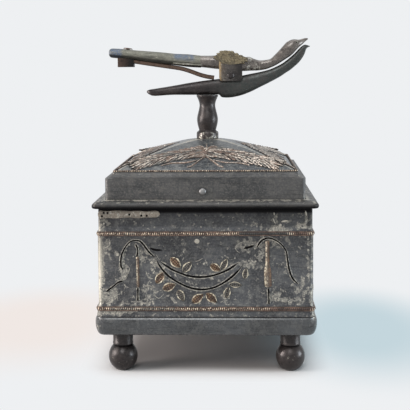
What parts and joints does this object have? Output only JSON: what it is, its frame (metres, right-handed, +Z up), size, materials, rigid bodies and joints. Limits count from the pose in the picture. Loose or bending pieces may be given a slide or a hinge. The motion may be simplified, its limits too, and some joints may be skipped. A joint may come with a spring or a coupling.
{
  "type": "sewing box",
  "caption": "Footed metal sewing box with rope mouldings and a hinged domed lid that carries a spring-clamp sewing bird on a turned post.",
  "frame": {"origin": "on the surface it stands on, under the middle of the box", "axes": "+X to the right seen from the front, the front faces -Y, +Z up"},
  "size_m": [0.134, 0.134, 0.2019],
  "materials": {
    "dark_metal": "worn dark slate paint over grey metal",
    "copper": "copper-coloured gilding, worn",
    "aged_iron": "dark brown patina",
    "brass": "tarnished",
    "steel": "dull",
    "spring_steel": "rust-brown",
    "velvet": "faded velvet over card"
  },
  "bodies": {
    "box": {"body_walls": "dark_metal", "upper_rope_line": "copper", "lower_rope_line": "copper", "base_moulding": "dark_metal", "floor_plate": "dark_metal", "foot_front_left": "aged_iron", "foot_front_right": "aged_iron", "foot_back_left": "aged_iron", "foot_back_right": "aged_iron", "foot_screw_front_left": "steel", "foot_screw_front_right": "steel", "foot_screw_back_left": "steel", "foot_screw_back_right": "steel", "lining_sleeve": "velvet", "lining_floor": "velvet", "hinge_left_body_leaf": "steel", "hinge_left_pin": "steel", "hinge_right_body_leaf": "steel", "hinge_right_pin": "steel", "body_rivet_left_left": "steel", "body_rivet_left_right": "steel", "body_rivet_right_left": "steel", "body_rivet_right_right": "steel"},
    "lid": {"lid_rim": "dark_metal", "lid_band": "dark_metal", "lid_dome": "dark_metal", "dome_rope_line": "copper", "lid_knob": "steel", "knob_washer": "steel", "hinge_left_lid_leaf": "steel", "hinge_right_lid_leaf": "steel", "lid_rivet_left_left": "steel", "lid_rivet_left_right": "steel", "lid_rivet_right_left": "steel", "lid_rivet_right_right": "steel", "post": "aged_iron", "post_washer": "steel", "post_nut": "steel", "lower_jaw": "aged_iron", "pivot_pin": "steel"},
    "upper_jaw": {"bird_body": "brass", "tail_plate": "aged_iron", "wing_near": "brass", "wing_far": "brass", "spring_block": "spring_steel", "leaf_spring": "spring_steel", "tail_rivet": "spring_steel"}
  },
  "joints": [
    {"name": "lid_hinge", "type": "hinge", "parent": "box", "child": "lid", "pos_m": [0, 0.0651, 0.0987], "axis": [-1, 0, 0], "range_deg": [0, 105]},
    {"name": "beak_hinge", "type": "hinge", "parent": "lid", "child": "upper_jaw", "pos_m": [0.0153, 0, 0.1782], "axis": [0, -1, 0], "range_deg": [0, 12], "stiffness_Nm_per_rad": 1.2, "springref_deg": -14.9, "deforming": ["leaf_spring"]}
  ]
}
